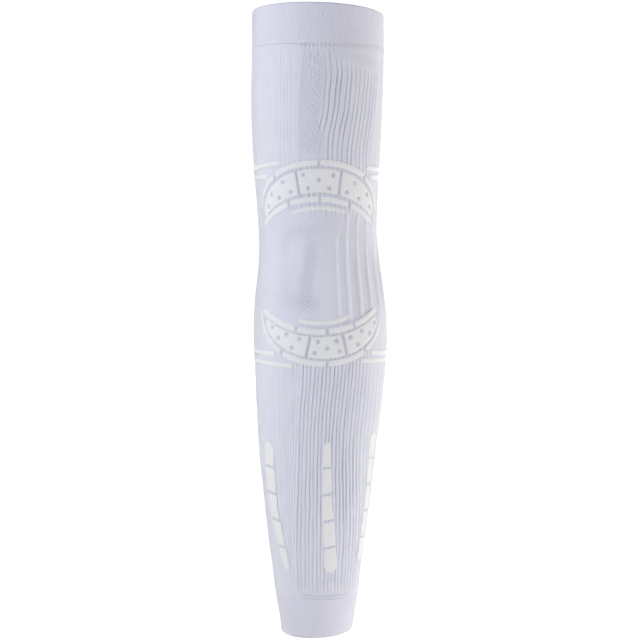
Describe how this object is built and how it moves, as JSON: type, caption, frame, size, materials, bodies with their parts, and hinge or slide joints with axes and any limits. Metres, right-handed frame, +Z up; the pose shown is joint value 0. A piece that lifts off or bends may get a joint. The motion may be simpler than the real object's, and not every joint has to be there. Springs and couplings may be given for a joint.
{
  "type": "padded arm sleeve",
  "caption": "Knitted compression arm sleeve, open at both ends, with doubled cuffs, ribbed panels and thin gel support pads bonded around the elbow and along the forearm.",
  "frame": {"origin": "middle of the arm at the elbow, on the line along which an arm passes through the sleeve", "axes": "+Z up the arm towards the shoulder end, -Y towards the point of the elbow, +X to the right seen from there"},
  "size_m": [0.0913, 0.0911, 0.421],
  "materials": {
    "rib_knit": "matte ribbed knit",
    "cuff_knit": "matte smooth knit",
    "gel": "satin cream silicone gel"
  },
  "bodies": {
    "root": {"upper_cuff": "cuff_knit", "arm_tube": "rib_knit", "wrist_cuff": "cuff_knit", "upper_outer_1": "gel", "upper_outer_2": "gel", "upper_outer_3": "gel", "upper_outer_4": "gel", "upper_pad_left": "gel", "upper_pad_centre": "gel", "upper_pad_right": "gel", "upper_inner_1": "gel", "upper_inner_2": "gel", "upper_inner_3": "gel", "upper_inner_4": "gel", "upper_arc": "gel", "upper_side_1": "gel", "upper_side_2": "gel", "upper_side_3": "gel", "upper_side_4": "gel", "lower_outer_1": "gel", "lower_outer_2": "gel", "lower_outer_3": "gel", "lower_outer_4": "gel", "lower_pad_left": "gel", "lower_pad_centre": "gel", "lower_pad_right": "gel", "lower_inner_1": "gel", "lower_inner_2": "gel", "lower_inner_3": "gel", "lower_inner_4": "gel", "lower_arc": "gel", "lower_side_1": "gel", "lower_side_2": "gel", "lower_side_3": "gel", "lower_side_4": "gel", "strip_left_1": "gel", "strip_left_2": "gel", "strip_left_3": "gel", "strip_left_4": "gel", "strip_left_5": "gel", "strip_centre_1": "gel", "strip_centre_2": "gel", "strip_centre_3": "gel", "strip_centre_4": "gel", "strip_centre_5": "gel", "strip_right_1": "gel", "strip_right_2": "gel", "strip_right_3": "gel", "strip_right_4": "gel", "strip_right_5": "gel"}
  },
  "joints": []
}
